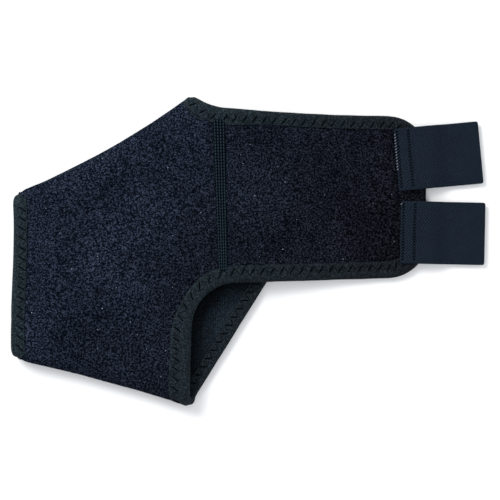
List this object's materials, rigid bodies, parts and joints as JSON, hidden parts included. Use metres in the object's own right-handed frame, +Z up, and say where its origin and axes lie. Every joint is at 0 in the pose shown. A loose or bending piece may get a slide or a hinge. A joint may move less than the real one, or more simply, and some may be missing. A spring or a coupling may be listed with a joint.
{
  "type": "ankle brace",
  "caption": "Open-heel neoprene foot sleeve lying flat, with a wrap panel round the ankle, bound edges and elastic straps that fasten with hook pads",
  "frame": {"origin": "centre of the bounding box's bottom face, on the surface that the brace lies on", "axes": "+X from the toe opening to the strap ends, +Y towards the peak of the upper fold, +Z up from the surface through the front"},
  "size_m": [0.3008, 0.1986, 0.0154],
  "materials": {
    "neoprene": "plush loop knit over foam, near-black navy, matt with a faint sheen",
    "binding_tape": "folded knit tape, dark slate grey, matt",
    "seam_thread": "flatlock stitches in dark green-grey thread",
    "elastic": "herringbone woven elastic, dark slate blue-grey, matt",
    "hook_tape": "black moulded hooks on a woven back"
  },
  "bodies": {
    "root": {"foot_sleeve": "neoprene", "ankle_wrap": "neoprene", "toe_binding": "binding_tape", "edge_binding": "binding_tape", "wrap_seam": "seam_thread", "upper_strap": "elastic", "lower_strap": "elastic", "upper_hook_pad": "hook_tape", "lower_hook_pad": "hook_tape"}
  },
  "joints": []
}
